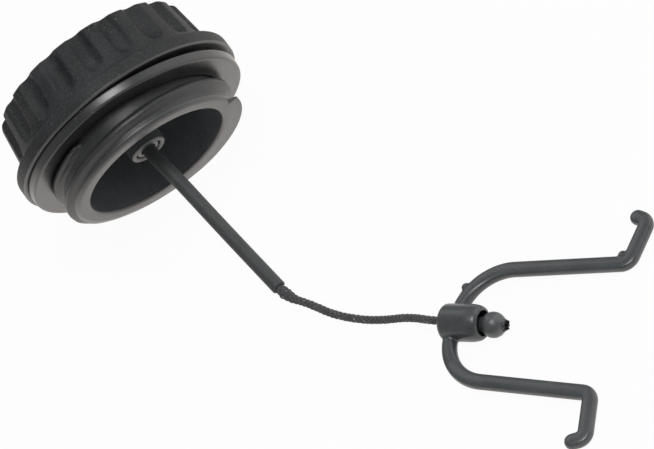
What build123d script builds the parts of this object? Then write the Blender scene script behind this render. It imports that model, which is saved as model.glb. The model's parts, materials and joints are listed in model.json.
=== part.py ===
"""Screw-in fuel filler cap with a sealing ring, a captive tether and a hooked retainer clip."""

import os
from math import atan, cos, degrees, pi, radians, sin, tan

from build123d import *

# Driving dimensions of the cap, heights measured from the rim of its mouth
flange_diameter = 50.0
flange_underside = 9.2
flange_height = 3.1
flange_overhang = 4.8
thread_depth = 1.4
neck_wall = 3.2
grip_step = 2.35
grip_draft = 1.4
cap_height = 23.7
top_wall = 2.8
lip_rounding = 0.9
flange_rounding = 1.0
flange_top_rounding = 0.45
grip_foot_rounding = 1.4
grip_top_rounding = 1.1

# Driving dimensions of the grip flutes
flute_count = 20
flute_radius = 2.3
flute_depth = 1.15
flute_foot_gap = 1.6
flute_phase = 11.0

# Driving dimensions of the thread
thread_pitch = 4.1
thread_end_gap = 0.25
thread_start_height = -0.25
thread_base_width = 1.9
thread_crest_width = 0.9
thread_crest_rounding = 0.3
thread_sink = 0.5
thread_runout_sink = 0.15

# Driving dimensions of the boss in the mouth
boss_diameter = 7.9
boss_bore = 5.4
boss_depth = 2.9
boss_bore_depth = 9.0
boss_rounding = 0.35

# Driving dimensions of the sealing ring
ring_inset = 0.9
ring_thickness = 1.7
ring_rounding = 0.7
ring_neck_clearance = 0.25
ring_seat_clearance = 0.02
ring_tilt = 1.6

# Driving dimensions of the tether
cord_diameter = 1.65
sleeve_diameter = 2.9
sleeve_clearance = 0.12
anchor_clearance = 0.1
anchor_depth = 3.0
sleeve_end_gap = 0.2
sleeve_runs = 6
corner_share = 0.45
cord_end_gap = 0.08

# Driving dimensions of the retainer clip, across and along the line of its barrel
barrel_diameter = 7.0
barrel_front = 4.3
barrel_back = 3.4
barrel_rounding = 1.0
barrel_rim_rounding = 0.5
counterbore_diameter = 5.2
counterbore_depth = 2.8
cord_hole_clearance = 0.55
cord_entry_rise = 0.4
rod_diameter = 2.9
arm_drop = 0.6
arm_root = -1.4
arm_root_stub = 0.48
arm_spread = 2.1
bend_reach = 30.5
bend_width = 13.3
bend_radius = 2.0
hook_lead = 1.4
hook_length = 8.95
hook_radius = 1.6
tip_return = 2.25
tip_rise = 0.75

# Driving dimensions of the stopper on the cord
stopper_diameter = 4.7
stopper_shank_diameter = 3.6
stopper_reach = 6.75
stopper_sag = 0.5
stopper_seat_gap = 0.3
sprue_base_diameter = 2.6
sprue_tip_diameter = 1.5
sprue_length = 3.0

# Where the clip lies on the floor
clip_x = 30.1
clip_y = -83.4
clip_heading = -45.6

# Radii and heights worked out from the driving dimensions
flange_radius = flange_diameter / 2
thread_radius = flange_radius - flange_overhang
neck_radius = thread_radius - thread_depth
mouth_radius = neck_radius - neck_wall
ring_radius = flange_radius - ring_inset
grip_base_radius = flange_radius - grip_step
grip_top_radius = grip_base_radius - grip_draft
cord_radius = cord_diameter / 2
flange_top = flange_underside + flange_height
mouth_floor = cap_height - top_wall
flute_foot = flange_top + flute_foot_gap + flute_radius
grip_taper = degrees(atan(grip_draft / (cap_height - flange_top)))
ring_top = flange_underside - ring_seat_clearance - ring_radius * sin(radians(ring_tilt))
ring_bottom = ring_top - ring_thickness
thread_end_height = ring_bottom - thread_end_gap
thread_rise = thread_end_height - thread_start_height
thread_turns = thread_rise / thread_pitch

# The cap lies on its side, on the sealing ring and the lowest turn of the thread
thread_flank = atan((thread_base_width - thread_crest_width) / 2 / thread_depth)
crest_edge = thread_start_height + thread_pitch / 4 - thread_crest_width / 2
crest_level = crest_edge + thread_crest_rounding * tan(pi / 4 - thread_flank / 2)
ring_corner = ring_radius - ring_rounding
crest_corner = thread_radius - thread_crest_rounding
corner_rise = (ring_bottom + ring_rounding) - crest_level
lean = atan((ring_corner - crest_corner) / corner_rise)
rounding_slack = (ring_rounding - thread_crest_rounding) / corner_rise
lean = lean + rounding_slack * cos(lean)
rim_height = crest_corner * cos(lean) - crest_level * sin(lean) + thread_crest_rounding

# The row's origin is under the middle of the cap, seen from above
reach_back = (
    (cap_height - grip_top_rounding) * cos(lean)
    + (grip_top_radius - grip_top_rounding) * sin(lean)
    + grip_top_rounding
)
reach_front = (
    lip_rounding * cos(lean) - (neck_radius - lip_rounding) * sin(lean) - lip_rounding
)
rim_y = -(reach_back + reach_front) / 2

# Planes of the cap: across its axis at the rim, and through its axis
rim_centre = Vector(0, rim_y, rim_height)
cap_direction = Vector(0, cos(lean), sin(lean))
cap_plane = Plane(origin=rim_centre, x_dir=(1, 0, 0), z_dir=cap_direction)
cap_axis = Axis(rim_centre, cap_direction)
section_plane = Plane(origin=rim_centre, x_dir=cap_plane.y_dir, z_dir=cap_plane.x_dir)

# Planes of the clip: it lies on the front of its barrel and on its two hooks
hook_reach = bend_reach + hook_lead
hook_width = bend_width + hook_length
arm_root_width = bend_width - arm_spread
barrel_radius = barrel_diameter / 2
rod_radius = rod_diameter / 2
clip_slope = atan((barrel_radius - arm_drop - rod_radius) / (hook_reach - barrel_front))
clip_height = barrel_radius * cos(clip_slope) + barrel_front * sin(clip_slope)
barrel_direction = Vector(
    cos(radians(clip_heading)) * cos(clip_slope),
    sin(radians(clip_heading)) * cos(clip_slope),
    -sin(clip_slope),
)
clip_across = Vector(-sin(radians(clip_heading)), cos(radians(clip_heading)), 0)
clip_plane = Plane(
    origin=(clip_x, clip_y, clip_height),
    x_dir=barrel_direction,
    z_dir=barrel_direction.cross(clip_across),
)
barrel_axis = Axis(clip_plane.origin, barrel_direction)
arm_plane = clip_plane.offset(-arm_drop)
stopper_plane = clip_plane.offset(-stopper_sag)

# Heights along the tether's two ends
anchor_face = boss_depth + anchor_depth
cord_hole_radius = cord_radius + cord_hole_clearance
arm_start = cord_hole_radius + rod_radius / 4
arm_turn = pi / 2 - atan(arm_spread / (bend_reach - arm_root))
arm_root_radius = (arm_root_width - arm_start - arm_root_stub) / tan(arm_turn / 2)
shoulder = barrel_front - counterbore_depth
stopper_face = shoulder + stopper_seat_gap


def corner(sketch, x, y):
    """Return the corner of a sketch that is nearest to a point of its plane."""
    return sketch.vertices().sort_by_distance((x, y))[0]


def turn_radii(points):
    """Return the radius of the arc at each inner point of a cord's route."""
    radii = []
    for before, here, after in zip(points, points[1:], points[2:]):
        run_in = here - before
        run_out = after - here
        half_turn = radians(run_in.get_angle(run_out)) / 2
        radii.append(corner_share * min(run_in.length, run_out.length) / tan(half_turn))
    return radii


# Thread: one rounded ridge with a flat run-out, wound about the upright cap's axis
with BuildPart() as thread_ridge:
    with BuildLine() as thread_path:
        Helix(
            pitch=thread_pitch,
            height=thread_rise,
            radius=neck_radius,
            center=(0, 0, thread_start_height),
        )
    thread_plane = Plane(
        origin=thread_path.line @ 0,
        x_dir=(1, 0, 0),
        z_dir=thread_path.line % 0,
    )
    with BuildSketch(thread_plane) as thread_section:
        with BuildLine():
            Polyline(
                (-thread_sink, -thread_base_width / 2),
                (0, -thread_base_width / 2),
                (thread_depth, -thread_crest_width / 2),
                (thread_depth, thread_crest_width / 2),
                (0, thread_base_width / 2),
                (-thread_sink, thread_base_width / 2),
                close=True,
            )
        make_face()
        for side in (-1, 1):
            fillet(
                corner(thread_section, thread_depth, side * thread_crest_width / 2),
                thread_crest_rounding,
            )
    sweep(path=thread_path.line, is_frenet=True)
    with Locations(Location((0, 0, thread_end_height), (0, 0, 360 * thread_turns))):
        with Locations((neck_radius - thread_runout_sink, 0, 0)):
            Box(
                thread_radius,
                2 * thread_radius,
                2 * thread_base_width,
                align=(Align.MIN, Align.CENTER, Align.CENTER),
                mode=Mode.SUBTRACT,
            )

# Cap upright on its rim: grip, flange, neck and boss turned about one axis, then thread and flutes
with BuildPart() as upright_cap:
    with BuildSketch(Plane.YZ) as shell_section:
        with BuildLine():
            Polyline(
                (mouth_radius, 0),
                (neck_radius, 0),
                (neck_radius, flange_underside),
                (flange_radius, flange_underside),
                (flange_radius, flange_top),
                (grip_base_radius, flange_top),
                (grip_top_radius, cap_height),
                (0, cap_height),
                (0, mouth_floor),
                (mouth_radius, mouth_floor),
                close=True,
            )
        make_face()
        for x, y, rounding in (
            (neck_radius, 0, lip_rounding),
            (mouth_radius, 0, lip_rounding),
            (flange_radius, flange_underside, flange_rounding),
            (flange_radius, flange_top, flange_top_rounding),
            (grip_base_radius, flange_top, grip_foot_rounding),
            (grip_top_radius, cap_height, grip_top_rounding),
            (mouth_radius, mouth_floor, grip_top_rounding),
        ):
            fillet(corner(shell_section, x, y), rounding)
    revolve(axis=Axis.Z)
    with BuildSketch(Plane.YZ) as boss_section:
        with BuildLine():
            Polyline(
                (0, boss_depth + boss_bore_depth),
                (boss_bore / 2, boss_depth + boss_bore_depth),
                (boss_bore / 2, boss_depth),
                (boss_diameter / 2, boss_depth),
                (boss_diameter / 2, mouth_floor + top_wall / 2),
                (0, mouth_floor + top_wall / 2),
                close=True,
            )
        make_face()
        for x in (boss_bore / 2, boss_diameter / 2):
            fillet(corner(boss_section, x, boss_depth), boss_rounding)
    revolve(axis=Axis.Z)
    add(thread_ridge.part)
    split(bisect_by=Plane.XY, keep=Keep.TOP)
    with PolarLocations(grip_base_radius + flute_radius - flute_depth, flute_count, flute_phase):
        with Locations(Location((0, 0, flute_foot), (0, -grip_taper, 0))):
            Sphere(flute_radius, mode=Mode.SUBTRACT)
            Cylinder(
                flute_radius,
                cap_height,
                align=(Align.CENTER, Align.CENTER, Align.MIN),
                mode=Mode.SUBTRACT,
            )

# Cap body: the same cap laid on its side
with BuildPart() as cap_body:
    with Locations(cap_plane.location):
        add(upright_cap.part)

# Sealing ring: loose on the neck, touching the flange on one side only
ring_plane = cap_plane.offset(ring_bottom).rotated((0, ring_tilt, 0))
ring_section_plane = Plane(ring_plane.origin, x_dir=ring_plane.x_dir, z_dir=-ring_plane.y_dir)
with BuildPart() as sealing_ring:
    with BuildSketch(ring_section_plane) as ring_section:
        with BuildLine():
            Polyline(
                (neck_radius + ring_neck_clearance, 0),
                (ring_radius, 0),
                (ring_radius, ring_thickness),
                (neck_radius + ring_neck_clearance, ring_thickness),
                close=True,
            )
        make_face()
        for y in (0, ring_thickness):
            fillet(corner(ring_section, ring_radius, y), ring_rounding)
    revolve(axis=Axis(ring_plane.origin, ring_plane.z_dir))

# Anchor: the bead in the boss that holds the inner end of the cord
anchor_radius = boss_bore / 2 - anchor_clearance
with BuildPart() as tether_anchor:
    with BuildSketch(section_plane) as anchor_section:
        with BuildLine():
            Polyline(
                (0, anchor_face),
                (anchor_radius, anchor_face),
                (anchor_radius, anchor_face + anchor_radius),
                (0, anchor_face + anchor_radius),
                close=True,
            )
        make_face()
        fillet(corner(anchor_section, anchor_radius, anchor_face), anchor_radius / 4)
        fillet(corner(anchor_section, anchor_radius, anchor_face + anchor_radius), anchor_radius / 2)
    revolve(axis=cap_axis)

# Tether route: out of the boss, down in the sleeve, over the floor and up into the clip's barrel
tether_route = [
    section_plane.from_local_coords(Vector(0, anchor_face, 0)),
    section_plane.from_local_coords(Vector(0, boss_depth - 0.9, 0)),
    Vector(1.1, -15.4, 15.0),
    Vector(2.0, -23.1, 10.9),
    Vector(3.1, -31.9, 6.9),
    Vector(4.1, -39.4, 3.8),
    Vector(5.1, -47.0, cord_radius),
    Vector(7.8, -51.6, cord_radius),
    Vector(10.7, -58.3, cord_radius),
    Vector(14.7, -64.1, cord_radius),
    Vector(18.5, -68.5, cord_radius + 0.5),
    Vector(22.8, -74.1, cord_radius + 2.9),
    clip_plane.from_local_coords(Vector(-barrel_back - 1.6, 0, cord_entry_rise)),
    clip_plane.from_local_coords(Vector(stopper_face - cord_end_gap, 0, 0)),
]
tether_radii = turn_radii(tether_route)
print("lean:", round(degrees(lean), 4), "rim:", round(rim_y, 4), round(rim_height, 4))
print("tether arc radii:", [round(radius, 1) for radius in tether_radii])

# Cord: one round tube along the whole route
with BuildPart() as tether_cord:
    with BuildLine() as cord_path:
        FilletPolyline(*tether_route, radius=tether_radii)
    with BuildSketch(Plane(origin=cord_path.line @ 0, z_dir=cord_path.line % 0)):
        Circle(cord_radius)
    sweep(path=cord_path.line)
cord_length = cord_path.wire().length
cord_volume = cord_length * pi * cord_radius**2
print("cord length:", round(cord_length, 2), "mm")
print("cord volume over section times length:", round(tether_cord.part.volume / cord_volume, 4))

# Sleeve: a tube over the cord from the anchor to the floor
last_run = tether_route[sleeve_runs] - tether_route[sleeve_runs - 1]
next_run = tether_route[sleeve_runs + 1] - tether_route[sleeve_runs]
sleeve_trim = corner_share * min(last_run.length, next_run.length) + sleeve_end_gap
sleeve_end = tether_route[sleeve_runs] - last_run.normalized() * sleeve_trim
sleeve_start = tether_route[0] + (tether_route[1] - tether_route[0]).normalized() * sleeve_end_gap
with BuildPart() as tether_sleeve:
    with BuildLine() as sleeve_path:
        FilletPolyline(
            sleeve_start,
            *tether_route[1:sleeve_runs],
            sleeve_end,
            radius=tether_radii[: sleeve_runs - 1],
        )
    with BuildSketch(Plane(origin=sleeve_path.line @ 0, z_dir=sleeve_path.line % 0)):
        Circle(sleeve_diameter / 2)
        Circle(cord_radius + sleeve_clearance, mode=Mode.SUBTRACT)
    sweep(path=sleeve_path.line)
print("sleeve length:", round(sleeve_path.wire().length, 2), "mm")

# Retainer clip: a barrel on the cord and two hooked arms, mirror images of each other
barrel_section_plane = Plane(clip_plane.origin, x_dir=clip_plane.y_dir, z_dir=clip_plane.z_dir)
with BuildPart() as retainer_clip:
    with BuildLine(arm_plane) as arm_path:
        FilletPolyline(
            (arm_root, arm_start),
            (arm_root, arm_root_width),
            (bend_reach, bend_width),
            (hook_reach, hook_width),
            (hook_reach - tip_return, hook_width + tip_rise),
            radius=[arm_root_radius, bend_radius, hook_radius],
        )
    with BuildSketch(Plane(origin=arm_path.line @ 0, z_dir=arm_path.line % 0)):
        Circle(rod_radius)
    sweep(path=arm_path.line)
    with Locations(arm_path.line @ 1):
        Sphere(rod_radius)
    mirror(about=Plane(clip_plane.origin, z_dir=clip_plane.y_dir))
    with BuildSketch(clip_plane) as barrel_section:
        with BuildLine():
            Polyline(
                (-barrel_back, 0),
                (-barrel_back, barrel_radius),
                (barrel_front, barrel_radius),
                (barrel_front, 0),
                close=True,
            )
        make_face()
        fillet(corner(barrel_section, -barrel_back, barrel_radius), barrel_rounding)
        fillet(corner(barrel_section, barrel_front, barrel_radius), barrel_rim_rounding)
    revolve(axis=barrel_axis)
    with BuildSketch(clip_plane) as barrel_bore:
        with BuildLine():
            Polyline(
                (-barrel_back - barrel_radius, 0),
                (-barrel_back - barrel_radius, cord_hole_radius),
                (shoulder, cord_hole_radius),
                (shoulder, counterbore_diameter / 2),
                (barrel_front + barrel_radius, counterbore_diameter / 2),
                (barrel_front + barrel_radius, 0),
                close=True,
            )
        make_face()
    revolve(axis=barrel_axis, mode=Mode.SUBTRACT)

# Stopper: a bead on the cord's end with a broken sprue, its shank sagging in the barrel
sprue_end = stopper_reach + sprue_length
with BuildPart() as cord_stopper:
    with BuildSketch(stopper_plane):
        with BuildLine():
            Polyline(
                (stopper_face, 0),
                (stopper_face, stopper_shank_diameter / 2),
                (stopper_reach, stopper_shank_diameter / 2),
                (stopper_reach, sprue_base_diameter / 2),
                (sprue_end, sprue_tip_diameter / 2),
                (sprue_end, 0),
                close=True,
            )
        make_face()
    revolve(axis=Axis(stopper_plane.origin, barrel_direction))
    with Locations(stopper_plane.from_local_coords(Vector(stopper_reach, 0, 0))):
        Sphere(stopper_diameter / 2)

# Label and write each piece
os.makedirs("parts", exist_ok=True)
for name, piece in (
    ("cap_body", cap_body),
    ("sealing_ring", sealing_ring),
    ("tether_anchor", tether_anchor),
    ("tether_sleeve", tether_sleeve),
    ("tether_cord", tether_cord),
    ("cord_stopper", cord_stopper),
    ("retainer_clip", retainer_clip),
):
    piece.part.label = name
    export_step(piece.part, f"parts/{name}.step")
    low = round(piece.part.bounding_box().min.Z, 3)
    print(name, "volume", round(piece.part.volume, 1), "valid", piece.part.is_valid, "lowest", low)
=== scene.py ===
"""Looks of a tethered fuel filler cap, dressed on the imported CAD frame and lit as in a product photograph."""

import json
import logging
import math
from dataclasses import dataclass, replace
from enum import Enum
from typing import Any, Sequence

import bmesh
import bpy
import numpy as np
from mathutils import Euler, Matrix, Vector


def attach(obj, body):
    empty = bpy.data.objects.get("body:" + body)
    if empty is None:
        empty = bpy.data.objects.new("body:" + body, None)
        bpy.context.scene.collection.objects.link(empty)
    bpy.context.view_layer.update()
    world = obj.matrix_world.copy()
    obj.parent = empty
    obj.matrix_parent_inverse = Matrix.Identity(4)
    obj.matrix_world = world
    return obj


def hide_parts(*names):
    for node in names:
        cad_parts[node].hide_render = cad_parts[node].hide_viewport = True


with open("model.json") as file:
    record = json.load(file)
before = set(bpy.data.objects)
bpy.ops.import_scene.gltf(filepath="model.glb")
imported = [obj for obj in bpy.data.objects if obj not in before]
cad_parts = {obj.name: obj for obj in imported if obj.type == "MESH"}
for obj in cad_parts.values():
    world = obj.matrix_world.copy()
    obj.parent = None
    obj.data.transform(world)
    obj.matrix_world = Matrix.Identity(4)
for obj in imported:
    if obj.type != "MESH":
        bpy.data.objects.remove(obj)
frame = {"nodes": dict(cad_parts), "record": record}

LOG = logging.getLogger("filler_cap")
MM = 0.001
FULL_TURN = 2.0 * math.pi
ARC_STEP = 0.16
MERGE_DISTANCE = 1e-7
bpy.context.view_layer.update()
Colour = tuple[float, float, float]
Place = tuple[float, float, float]
Span = tuple[float, float]
Profile = list[tuple[float, float, float]]
Pieces = list[bpy.types.Object]


class Body(Enum):
    """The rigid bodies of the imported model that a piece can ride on."""

    CAP = "cap"
    CLIP = "clip"


class Zone(Enum):
    """The parts of the cap's surface, by material index."""

    PLAIN = 0
    GRIP = 1
    MOUTH = 2
    NECK = 3


class Value:
    """A number in a tree of nodes that ordinary arithmetic can be written with."""

    def __init__(self, owner: "NodeTree", socket: bpy.types.NodeSocket) -> None:
        """Wrap a socket.

        Args:
            owner: The tree that takes the Math nodes.
            socket: The output socket that carries the number.
        """
        self.owner = owner
        self.socket = socket

    def __add__(self, other: Any) -> "Value":
        """Return self + other."""
        return self.owner.math("ADD", self, other)

    def __radd__(self, other: Any) -> "Value":
        """Return other + self."""
        return self.owner.math("ADD", other, self)

    def __sub__(self, other: Any) -> "Value":
        """Return self - other."""
        return self.owner.math("SUBTRACT", self, other)

    def __rsub__(self, other: Any) -> "Value":
        """Return other - self."""
        return self.owner.math("SUBTRACT", other, self)

    def __mul__(self, other: Any) -> "Value":
        """Return self * other."""
        return self.owner.math("MULTIPLY", self, other)

    def __rmul__(self, other: Any) -> "Value":
        """Return other * self."""
        return self.owner.math("MULTIPLY", other, self)

    def __truediv__(self, other: Any) -> "Value":
        """Return self / other."""
        return self.owner.math("DIVIDE", self, other)

    def __rtruediv__(self, other: Any) -> "Value":
        """Return other / self."""
        return self.owner.math("DIVIDE", other, self)

    def above(self, low: float, high: float) -> "Value":
        """Return a soft step that rises from 0 at low to 1 at high.

        Args:
            low: Where the step starts.
            high: Where the step ends.

        Returns:
            The step, between 0 and 1.
        """
        made = self.owner.node(
            "ShaderNodeMapRange",
            {"interpolation_type": "SMOOTHSTEP"},
            {"Value": self, "From Min": low, "From Max": high},
        )
        return Value(self.owner, made.outputs["Result"])


class NodeTree:
    """A tree of nodes under construction."""

    def __init__(self, tree: bpy.types.NodeTree) -> None:
        """Take up a tree.

        Args:
            tree: The tree that takes the nodes.
        """
        self.tree = tree

    def node(self, kind: str, settings: dict[str, Any], inputs: dict[Any, Any]) -> bpy.types.Node:
        """Add a node.

        Args:
            kind: The node's type.
            settings: Properties that are set first.
            inputs: Values or links of its sockets, by name or number.

        Returns:
            The new node.
        """
        made = self.tree.nodes.new(kind)
        for key, value in settings.items():
            setattr(made, key, value)
        for key, value in inputs.items():
            self._feed(made.inputs[key], value)
        return made

    def math(self, operation: str, *operands: Any) -> Value:
        """Add one Math node.

        Args:
            operation: The node's operation.
            operands: Its inputs, values or numbers.

        Returns:
            The node's result.
        """
        made = self.node("ShaderNodeMath", {"operation": operation}, dict(enumerate(operands)))
        return Value(self, made.outputs[0])

    def _feed(self, socket: bpy.types.NodeSocket, value: Any) -> None:
        """Link a socket to an output, or set it to a constant.

        Args:
            socket: The node's input.
            value: A wrapped or plain output, or the constant.
        """
        if isinstance(value, Value):
            self.tree.links.new(value.socket, socket)
        elif isinstance(value, bpy.types.NodeSocket):
            self.tree.links.new(value, socket)
        elif socket.type == "RGBA":
            socket.default_value = (*value, 1.0)
        else:
            socket.default_value = value


class Shader(NodeTree):
    """A procedural material under construction."""

    def __init__(self, name: str) -> None:
        """Start an empty material.

        Args:
            name: The material's name.
        """
        self.material = bpy.data.materials.new(name)
        self.material.use_nodes = True
        super().__init__(self.material.node_tree)
        self.tree.nodes.clear()
        self.output = self.node("ShaderNodeOutputMaterial", {}, {})

    def noise(self, size_mm: float, detail: float) -> Value:
        """Return smooth noise in the piece's own coordinates.

        Args:
            size_mm: The size of its larger blotches, in millimetres.
            detail: How many finer layers it has.

        Returns:
            A value near 0.5 that varies over the piece.
        """
        place = self.node("ShaderNodeTexCoord", {}, {}).outputs["Object"]
        made = self.node(
            "ShaderNodeTexNoise",
            {},
            {"Vector": place, "Scale": 1.0 / (size_mm * MM), "Detail": detail},
        )
        return Value(self, made.outputs[0])

    def blend(self, share: Value, dark: Any, light: Any) -> bpy.types.NodeSocket:
        """Mix two colours.

        Args:
            share: How much of the second colour shows.
            dark: The first colour, constant or linked.
            light: The second colour, constant or linked.

        Returns:
            The mixed colour.
        """
        made = self.node(
            "ShaderNodeMix", {"data_type": "RGBA", "clamp_factor": True}, {0: share, 6: dark, 7: light}
        )
        return made.outputs[2]

    def bump(self, height: Value, depth_mm: float) -> bpy.types.NodeSocket:
        """Return a normal that follows a height.

        Args:
            height: The height, from 0 to 1.
            depth_mm: How deep the relief is, in millimetres.

        Returns:
            The bumped normal.
        """
        made = self.node(
            "ShaderNodeBump", {}, {"Strength": 1.0, "Distance": depth_mm * MM, "Height": height}
        )
        return made.outputs[0]

    def finish(self, kind: str, inputs: dict[Any, Any]) -> bpy.types.Material:
        """Close the material with its last shader.

        Args:
            kind: The shader node's type.
            inputs: Values or links of the shader's sockets.

        Returns:
            The material.
        """
        made = self.node(kind, {}, inputs)
        self.tree.links.new(made.outputs[0], self.output.inputs["Surface"])
        return self.material


@dataclass(frozen=True)
class MouldedPlastic:
    """Grained plastic from a mould, with faint blotches, dust and a fine skin."""

    name: str
    dark: Colour
    light: Colour
    dust: Colour
    roughness: float
    grain_mm: float
    grain_depth_mm: float
    blotch_mm: float
    dust_level: float
    sheen: float
    dust_mm: float = 0.5
    roughness_spread: float = 0.12
    coat: float = 0.0
    coat_roughness: float = 0.3
    blotch_span: Span = (0.3, 0.7)
    grain_span: Span = (0.35, 0.65)
    dust_edge: float = 0.03

    def material(self) -> bpy.types.Material:
        """Make the finish.

        Returns:
            The finish as a material.
        """
        shader = Shader(self.name)
        blotch = shader.noise(self.blotch_mm, 3.0)
        grain = shader.noise(self.grain_mm, 2.0)
        specks = shader.noise(self.dust_mm, 1.0)
        tone = blotch.above(*self.blotch_span) * 0.5 + grain.above(*self.grain_span) * 0.5
        plain = shader.blend(tone, self.dark, self.light)
        speckled = specks.above(self.dust_level, self.dust_level + self.dust_edge)
        return shader.finish(
            "ShaderNodeBsdfPrincipled",
            {
                "Base Color": shader.blend(speckled, plain, self.dust),
                "Roughness": self.roughness + (blotch - 0.5) * self.roughness_spread,
                "Specular IOR Level": self.sheen,
                "Coat Weight": self.coat,
                "Coat Roughness": self.coat_roughness,
                "Normal": shader.bump(grain, self.grain_depth_mm),
            },
        )


@dataclass(frozen=True)
class BraidedYarn:
    """Dull yarn whose strands differ a little, with pale broken fibres."""

    name: str
    dark: Colour
    light: Colour
    fleck: Colour
    roughness: float
    fibre_mm: float
    fibre_depth_mm: float
    fleck_mm: float
    fleck_level: float
    fuzz: float
    fuzz_roughness: float
    strand_share: float = 0.6
    fibre_span: Span = (0.3, 0.7)
    fleck_edge: float = 0.02

    def material(self) -> bpy.types.Material:
        """Make the finish.

        Returns:
            The finish as a material.
        """
        shader = Shader(self.name)
        strand = shader.node("ShaderNodeAttribute", {"attribute_name": "strand_tone"}, {})
        fibre = shader.noise(self.fibre_mm, 3.0)
        fleck = shader.noise(self.fleck_mm, 0.0)
        by_strand = Value(shader, strand.outputs["Fac"]) * self.strand_share
        tone = by_strand + fibre.above(*self.fibre_span) * (1.0 - self.strand_share)
        yarn = shader.blend(tone, self.dark, self.light)
        flecked = fleck.above(self.fleck_level, self.fleck_level + self.fleck_edge)
        return shader.finish(
            "ShaderNodeBsdfPrincipled",
            {
                "Base Color": shader.blend(flecked, yarn, self.fleck),
                "Roughness": self.roughness,
                "Sheen Weight": self.fuzz,
                "Sheen Roughness": self.fuzz_roughness,
                "Normal": shader.bump(fibre, self.fibre_depth_mm),
            },
        )


@dataclass(frozen=True)
class StudioFloor:
    """Paper that shows as white to the camera and in gloss, and still takes a faint shadow."""

    name: str = "white_paper"
    colour: Colour = (0.85, 0.85, 0.85)
    shown: Colour = (1.0, 1.0, 1.0)
    mirrored: Colour = (1.0, 0.955, 0.925)
    shadow_share: float = 0.04

    def material(self) -> bpy.types.Material:
        """Make the finish.

        Returns:
            The finish as a material.
        """
        shader = Shader(self.name)
        paper = shader.node("ShaderNodeBsdfDiffuse", {}, {"Color": self.colour})
        path = shader.node("ShaderNodeLightPath", {}, {})
        seen = Value(shader, path.outputs["Is Camera Ray"])
        glossy = Value(shader, path.outputs["Is Glossy Ray"])
        clear = Value(shader, path.outputs["Is Transmission Ray"])
        colour = shader.blend(glossy, self.shown, self.mirrored)
        glow = shader.node("ShaderNodeEmission", {}, {"Color": colour, "Strength": 1.0})
        share = (seen + glossy + clear) * (1.0 - self.shadow_share)
        return shader.finish("ShaderNodeMixShader", {0: share, 1: paper.outputs[0], 2: glow.outputs[0]})


CAP_PLASTIC = MouldedPlastic(
    name="charcoal_moulding",
    dark=(0.026, 0.027, 0.028),
    light=(0.046, 0.047, 0.048),
    dust=(0.20, 0.20, 0.19),
    roughness=0.42,
    roughness_spread=0.10,
    grain_mm=0.32,
    grain_depth_mm=0.05,
    blotch_mm=7.0,
    dust_mm=0.45,
    dust_level=0.76,
    sheen=0.8,
    coat=0.65,
    coat_roughness=0.45,
)
NECK_SKIN = replace(CAP_PLASTIC, name="charcoal_neck", sheen=0.5, coat=0.25)
GRIP_TEXTURE = replace(
    CAP_PLASTIC,
    name="charcoal_grip",
    dark=(0.014, 0.015, 0.016),
    light=(0.046, 0.047, 0.049),
    dust=(0.22, 0.22, 0.21),
    roughness=0.52,
    grain_mm=0.38,
    grain_depth_mm=0.12,
    blotch_mm=6.0,
    sheen=0.35,
    coat=0.0,
)
# The mouth's inside is the cap's own charcoal plastic, painted much lighter: painted fill light where the mouth
# lies in shade.
MOUTH_PAINTED_FILL = MouldedPlastic(
    name="charcoal_mouth_painted_fill",
    dark=(0.118, 0.126, 0.131),
    light=(0.165, 0.174, 0.180),
    dust=(0.14, 0.14, 0.14),
    roughness=0.60,
    roughness_spread=0.08,
    grain_mm=0.4,
    grain_depth_mm=0.04,
    blotch_mm=6.0,
    dust_level=0.80,
    sheen=0.3,
)
RING_RUBBER = MouldedPlastic(
    name="seal_rubber",
    dark=(0.014, 0.0145, 0.015),
    light=(0.024, 0.0245, 0.025),
    dust=(0.30, 0.29, 0.27),
    roughness=0.33,
    grain_mm=0.5,
    grain_depth_mm=0.012,
    blotch_mm=5.0,
    dust_level=0.77,
    sheen=0.55,
    coat=0.65,
    coat_roughness=0.32,
)
SLEEVE_TUBE = MouldedPlastic(
    name="sleeve_tube",
    dark=(0.049, 0.051, 0.052),
    light=(0.080, 0.083, 0.085),
    dust=(0.21, 0.21, 0.20),
    roughness=0.58,
    grain_mm=0.3,
    grain_depth_mm=0.012,
    blotch_mm=4.0,
    dust_mm=0.4,
    dust_level=0.79,
    sheen=0.6,
)
CLIP_PLASTIC = MouldedPlastic(
    name="satin_grey_moulding",
    dark=(0.044, 0.049, 0.053),
    light=(0.076, 0.082, 0.088),
    dust=(0.40, 0.38, 0.36),
    roughness=0.40,
    grain_mm=0.35,
    grain_depth_mm=0.03,
    blotch_mm=5.0,
    dust_mm=0.55,
    dust_level=0.79,
    sheen=0.7,
    coat=0.35,
    coat_roughness=0.22,
)
BEAD_PLASTIC = replace(
    CLIP_PLASTIC,
    name="satin_grey_bead",
    dark=(0.058, 0.063, 0.068),
    light=(0.092, 0.098, 0.105),
    roughness=0.46,
    grain_mm=0.4,
    grain_depth_mm=0.05,
    blotch_mm=2.5,
    dust_mm=0.5,
    dust_level=0.80,
    sheen=0.9,
    coat=0.6,
    coat_roughness=0.42,
)
TORN_TIP = MouldedPlastic(
    name="torn_sprue",
    dark=(0.012, 0.012, 0.013),
    light=(0.030, 0.031, 0.033),
    dust=(0.10, 0.10, 0.10),
    roughness=0.70,
    roughness_spread=0.10,
    grain_mm=0.25,
    grain_depth_mm=0.08,
    blotch_mm=1.0,
    dust_mm=0.4,
    dust_level=0.80,
    sheen=0.3,
)
CORD_YARN = BraidedYarn(
    name="black_braid",
    dark=(0.044, 0.044, 0.047),
    light=(0.120, 0.120, 0.126),
    fleck=(0.40, 0.39, 0.37),
    roughness=0.75,
    fibre_mm=0.12,
    fibre_depth_mm=0.05,
    fleck_mm=0.42,
    fleck_level=0.75,
    fuzz=0.25,
    fuzz_roughness=0.4,
)


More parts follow.
